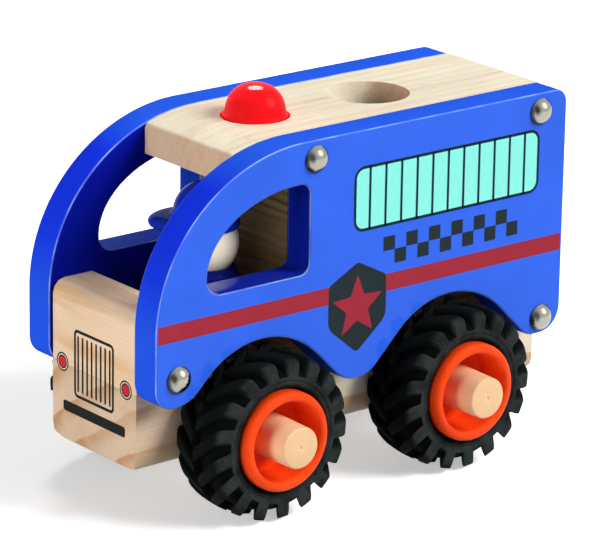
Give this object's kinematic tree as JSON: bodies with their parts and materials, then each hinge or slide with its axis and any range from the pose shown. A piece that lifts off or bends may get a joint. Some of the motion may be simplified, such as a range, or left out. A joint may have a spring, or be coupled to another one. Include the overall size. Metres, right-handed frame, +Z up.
{
  "type": "wooden toy police bus",
  "caption": "Push-along wooden toy police bus: painted side panels on a pine core, open cab with a turning driver, roof hole, red dome beacon, and rubber-tyred wheels that spin on wooden pegs.",
  "frame": {"origin": "on the floor under the middle of the bus: midway between the panels' rear and front edges, and midway between the two sides", "axes": "+X forward, towards the bonnet; +Y to the bus's left; +Z up"},
  "size_m": [0.177, 0.1136, 0.1367],
  "materials": {
    "blue_gloss_paint": "board painted in royal blue gloss, with printed stripe, window and badge",
    "pine": "clear matt varnish on pale pine, with a printed front",
    "red_gloss_paint": "turned wood painted in red gloss",
    "nickel": "polished nickel plate",
    "black_rubber": "matt black moulded rubber",
    "orange_plastic": "glossy moulded orange plastic",
    "peg_wood": "turned natural hardwood, satin",
    "driver_blue_paint": "turned wood painted in blue gloss",
    "driver_skin_paint": "turned wood, pale satin",
    "cap_blue_paint": "turned wood painted in dark blue gloss"
  },
  "bodies": {
    "bus": {"side_panel_left": "blue_gloss_paint", "side_panel_right": "blue_gloss_paint", "chassis_board": "pine", "bonnet_block": "pine", "cab_back_wall": "pine", "rear_wall": "pine", "roof_board": "pine", "beacon": "red_gloss_paint", "nail_left_roof_front": "nickel", "nail_left_roof_rear": "nickel", "nail_left_bonnet": "nickel", "nail_left_chassis": "nickel", "nail_right_roof_front": "nickel", "nail_right_roof_rear": "nickel", "nail_right_bonnet": "nickel", "nail_right_chassis": "nickel", "axle_peg_front_left": "peg_wood", "axle_peg_front_right": "peg_wood", "axle_peg_rear_left": "peg_wood", "axle_peg_rear_right": "peg_wood"},
    "wheel_front_left": {"tyre_front_left": "black_rubber", "hub_front_left": "orange_plastic"},
    "wheel_front_right": {"tyre_front_right": "black_rubber", "hub_front_right": "orange_plastic"},
    "wheel_rear_left": {"tyre_rear_left": "black_rubber", "hub_rear_left": "orange_plastic"},
    "wheel_rear_right": {"tyre_rear_right": "black_rubber", "hub_rear_right": "orange_plastic"},
    "driver": {"driver_body": "driver_blue_paint", "driver_head": "driver_skin_paint", "driver_cap": "cap_blue_paint"}
  },
  "joints": [
    {"name": "wheel_front_left_spin", "type": "hinge", "parent": "bus", "child": "wheel_front_left", "pos_m": [0.0445, 0.036, 0.029], "axis": [0, 1, 0], "continuous": true},
    {"name": "wheel_front_right_spin", "type": "hinge", "parent": "bus", "child": "wheel_front_right", "pos_m": [0.0445, -0.036, 0.029], "axis": [0, 1, 0], "continuous": true},
    {"name": "wheel_rear_left_spin", "type": "hinge", "parent": "bus", "child": "wheel_rear_left", "pos_m": [-0.0372, 0.036, 0.029], "axis": [0, 1, 0], "continuous": true},
    {"name": "wheel_rear_right_spin", "type": "hinge", "parent": "bus", "child": "wheel_rear_right", "pos_m": [-0.0372, -0.036, 0.029], "axis": [0, 1, 0], "continuous": true},
    {"name": "driver_turn", "type": "hinge", "parent": "bus", "child": "driver", "pos_m": [0.0409, 0, 0.0438], "axis": [0, 0, 1], "range_deg": [-90, 150]}
  ]
}
